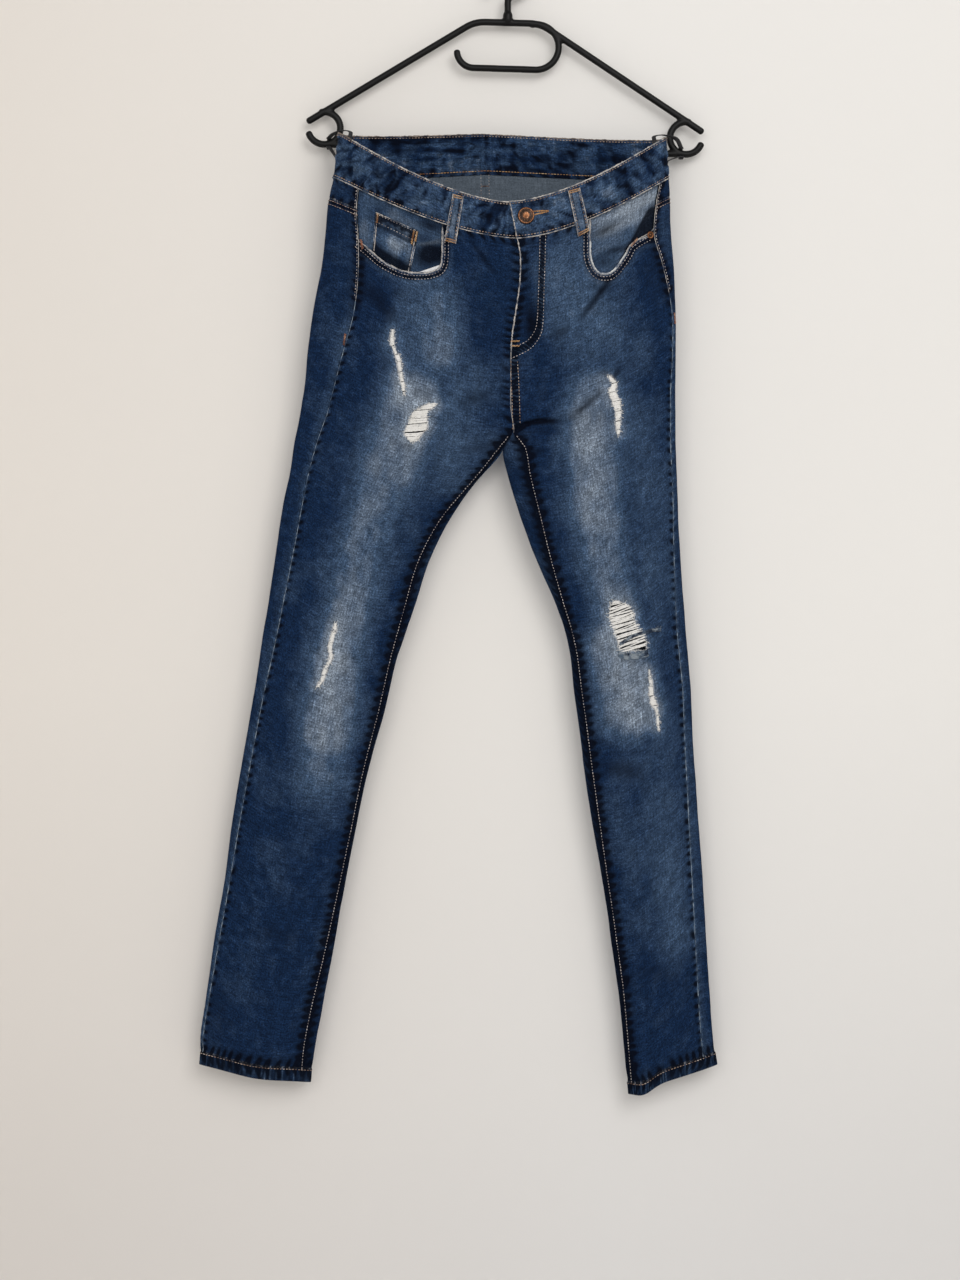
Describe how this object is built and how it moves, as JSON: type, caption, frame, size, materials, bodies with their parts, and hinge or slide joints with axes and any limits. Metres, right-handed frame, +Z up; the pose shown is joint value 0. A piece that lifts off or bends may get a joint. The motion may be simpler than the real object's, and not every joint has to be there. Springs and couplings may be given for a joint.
{
  "type": "ripped skinny jeans on a plastic clothes hanger",
  "caption": "Faded indigo skinny jeans with ripped thighs and knees, hung flat by waist tapes on a black plastic tubular hanger with a ring at each end.",
  "frame": {"origin": "inner top of the hanger's hook, where a rail or wall hook bears", "axes": "+Z up, -Y the front of the jeans, +X the wearer's left"},
  "size_m": [0.5401, 0.0715, 1.1886],
  "materials": {
    "denim": "indigo stretch twill, faded on thighs and knees",
    "faded_denim": "indigo twill worn pale",
    "white_cotton": "plain-weave cotton pocketing",
    "bared_weft": "loose ecru weft threads",
    "copper": "aged copper plate",
    "black_tape": "woven tape",
    "black_plastic": "semi-gloss moulded plastic"
  },
  "bodies": {
    "root": {"front_right": "denim", "front_left": "denim", "back_right": "denim", "back_left": "denim", "yoke_right": "denim", "yoke_left": "denim", "waistband": "denim", "belt_loop_front_right": "denim", "belt_loop_front_left": "denim", "belt_loop_back_right": "denim", "belt_loop_back_left": "denim", "belt_loop_centre_back": "denim", "pocket_facing_right": "faded_denim", "pocket_facing_left": "faded_denim", "coin_pocket": "faded_denim", "pocketing_right": "white_cotton", "back_pocket_right": "denim", "back_pocket_left": "denim", "hem_right": "denim", "hem_left": "denim", "button": "copper", "rivet_left": "copper", "hanging_tape_right": "black_tape", "hanging_tape_left": "black_tape", "hanger": "black_plastic", "weft_right_thigh_slit": "bared_weft", "weft_right_thigh_patch": "bared_weft", "weft_right_knee_slit": "bared_weft", "weft_left_thigh_slit": "bared_weft", "weft_left_knee_patch": "bared_weft", "weft_left_knee_slit": "bared_weft"}
  },
  "joints": []
}
